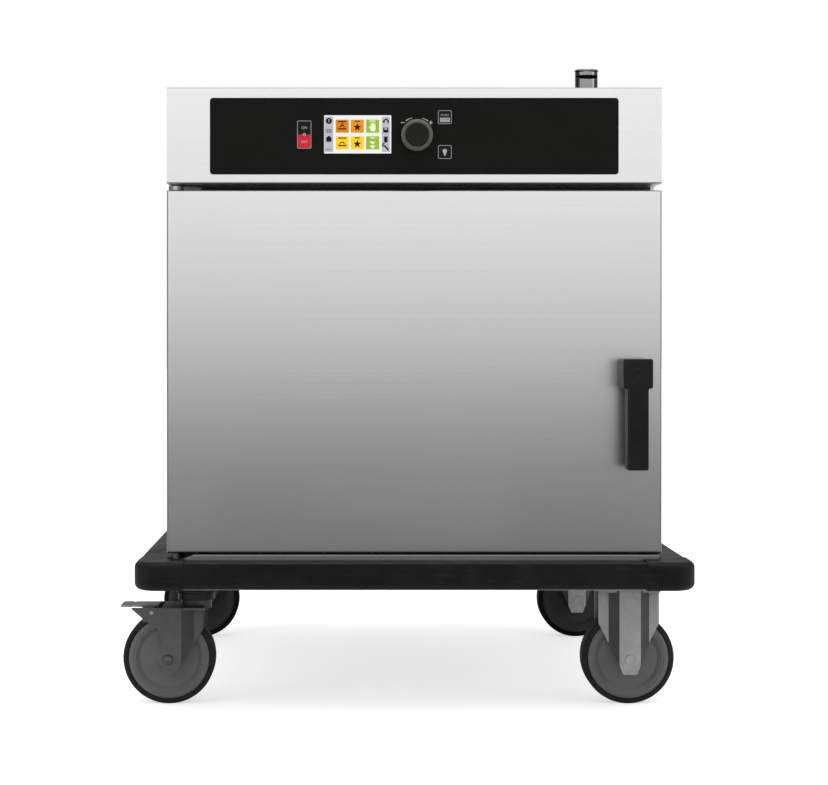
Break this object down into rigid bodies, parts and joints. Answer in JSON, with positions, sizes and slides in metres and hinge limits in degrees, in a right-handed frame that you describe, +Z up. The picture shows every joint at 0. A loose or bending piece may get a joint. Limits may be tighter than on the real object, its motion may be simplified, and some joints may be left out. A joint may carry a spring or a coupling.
{
  "type": "combi steamer oven",
  "caption": "Mobile combi steamer oven: stainless cabinet with side-hung door, touch display and turn knob, vent tube, rubber bumper and castors with brakes.",
  "frame": {"origin": "middle of the whole footprint, on the floor under the castors", "axes": "+Z up, +X to the cook's right, +Y towards the back"},
  "size_m": [0.761, 0.887, 0.875],
  "materials": {
    "casing_steel": "brushed stainless, satin",
    "door_steel": "brushed stainless, satin",
    "chamber_steel": "smooth stainless",
    "zinc_steel": "zinc-plated pressed steel",
    "vent_steel": "polished tube",
    "bumper_rubber": "matte moulded rubber",
    "gasket_rubber": "matte silicone",
    "tyre_rubber": "matte rubber tread",
    "rim_plastic": "moulded nylon",
    "handle_plastic": "satin black moulding",
    "black_glass": "glass printed black on its back",
    "screen": "lit display face",
    "knob_plastic": "grey moulding with a dark cap",
    "key_plastic": "black key cap",
    "circuit_board": "green solder mask",
    "motor_paint": "black stoved paint",
    "heater_steel": "heat-tinted sheath",
    "brass": "machined",
    "gland_plastic": "moulded nylon"
  },
  "bodies": {
    "cabinet": {"back_panel": "casing_steel", "bumper_corner_front_left": "bumper_rubber", "bumper_corner_front_right": "bumper_rubber", "bumper_corner_rear_left": "bumper_rubber", "bumper_corner_rear_right": "bumper_rubber", "bumper_front": "bumper_rubber", "bumper_left": "bumper_rubber", "bumper_rear": "bumper_rubber", "bumper_right": "bumper_rubber", "cable_gland": "gland_plastic", "chassis": "zinc_steel", "control_board": "circuit_board", "control_glass": "black_glass", "cooking_chamber": "chamber_steel", "display_module": "screen", "drain_pipe": "chamber_steel", "drip_tray": "casing_steel", "fan_baffle": "chamber_steel", "fan_motor": "motor_paint", "fasteners": "zinc_steel", "fixed_fork_front": "zinc_steel", "fixed_fork_rear": "zinc_steel", "front_fascia": "casing_steel", "heating_element": "heater_steel", "hinge_bracket_lower": "casing_steel", "hinge_bracket_upper": "casing_steel", "outer_casing": "casing_steel", "rack_left": "chamber_steel", "rack_right": "chamber_steel", "swivel_plate_front": "zinc_steel", "swivel_plate_rear": "zinc_steel", "vent_pipe": "vent_steel", "water_valve": "brass"},
    "door": {"door_outer_panel": "door_steel", "door_inner_panel": "chamber_steel", "door_gasket": "gasket_rubber", "handle_base": "handle_plastic", "pivot_pins": "zinc_steel"},
    "handle": {"handle_lever": "handle_plastic", "latch_tongue": "zinc_steel"},
    "fan": {"fan_wheel": "chamber_steel"},
    "encoder": {"encoder_plunger": "zinc_steel"},
    "knob": {"control_knob": "knob_plastic"},
    "power_key": {"power_rocker": "key_plastic"},
    "start_button": {"start_key": "key_plastic"},
    "light_button": {"light_key": "key_plastic"},
    "castor_front": {"swivel_fork_front": "zinc_steel", "swivel_axle_front": "zinc_steel"},
    "brake_front": {"brake_pedal_front": "zinc_steel"},
    "wheel_front_left": {"tyre_front_left": "tyre_rubber", "rim_front_left": "rim_plastic"},
    "wheel_front_right": {"tyre_front_right": "tyre_rubber", "rim_front_right": "rim_plastic"},
    "castor_rear": {"swivel_fork_rear": "zinc_steel", "swivel_axle_rear": "zinc_steel"},
    "brake_rear": {"brake_pedal_rear": "zinc_steel"},
    "wheel_rear_left": {"tyre_rear_left": "tyre_rubber", "rim_rear_left": "rim_plastic"},
    "wheel_rear_right": {"tyre_rear_right": "tyre_rubber", "rim_rear_right": "rim_plastic"}
  },
  "joints": [
    {"name": "door_swing", "type": "hinge", "parent": "cabinet", "child": "door", "pos_m": [-0.3005, -0.3605, 0.2145], "axis": [0, 0, -1], "range_deg": [0, 130]},
    {"name": "handle_turn", "type": "hinge", "parent": "door", "child": "handle", "pos_m": [0.3002, -0.4165, 0.451], "axis": [0, 1, 0], "range_deg": [0, 90]},
    {"name": "fan_spin", "type": "hinge", "parent": "cabinet", "child": "fan", "pos_m": [0.0145, 0.0035, 0.64], "axis": [0, 0, 1], "continuous": true},
    {"name": "knob_press", "type": "slide", "parent": "cabinet", "child": "encoder", "axis": [0, 1, 0], "range_m": [0, 0.0015], "stiffness_N_per_m": 900},
    {"name": "knob_turn", "type": "hinge", "parent": "encoder", "child": "knob", "pos_m": [0.0177, -0.3875, 0.7622], "axis": [0, -1, 0], "continuous": true},
    {"name": "power_rock", "type": "hinge", "parent": "cabinet", "child": "power_key", "pos_m": [-0.1299, -0.3845, 0.7639], "axis": [1, 0, 0], "range_deg": [-3, 3], "stiffness_Nm_per_rad": 0.4},
    {"name": "start_press", "type": "slide", "parent": "cabinet", "child": "start_button", "axis": [0, 1, 0], "range_m": [0, 0.0008], "stiffness_N_per_m": 900},
    {"name": "light_press", "type": "slide", "parent": "cabinet", "child": "light_button", "axis": [0, 1, 0], "range_m": [0, 0.0008], "stiffness_N_per_m": 900},
    {"name": "swivel_front", "type": "hinge", "parent": "cabinet", "child": "castor_front", "pos_m": [-0.2795, -0.2835, 0.132], "axis": [0, 0, 1], "continuous": true},
    {"name": "swivel_rear", "type": "hinge", "parent": "cabinet", "child": "castor_rear", "pos_m": [-0.2795, 0.3025, 0.132], "axis": [0, 0, 1], "continuous": true},
    {"name": "brake_front_press", "type": "hinge", "parent": "castor_front", "child": "brake_front", "pos_m": [-0.3375, -0.2835, 0.126], "axis": [0, -1, 0], "range_deg": [0, 10]},
    {"name": "brake_rear_press", "type": "hinge", "parent": "castor_rear", "child": "brake_rear", "pos_m": [-0.3375, 0.3025, 0.126], "axis": [0, -1, 0], "range_deg": [0, 10]},
    {"name": "roll_front_left", "type": "hinge", "parent": "castor_front", "child": "wheel_front_left", "pos_m": [-0.3155, -0.2835, 0.0625], "axis": [0, 1, 0], "continuous": true},
    {"name": "roll_front_right", "type": "hinge", "parent": "cabinet", "child": "wheel_front_right", "pos_m": [0.3085, -0.2835, 0.0625], "axis": [0, 1, 0], "continuous": true},
    {"name": "roll_rear_left", "type": "hinge", "parent": "castor_rear", "child": "wheel_rear_left", "pos_m": [-0.3155, 0.3025, 0.0625], "axis": [0, 1, 0], "continuous": true},
    {"name": "roll_rear_right", "type": "hinge", "parent": "cabinet", "child": "wheel_rear_right", "pos_m": [0.3085, 0.3025, 0.0625], "axis": [0, 1, 0], "continuous": true}
  ]
}
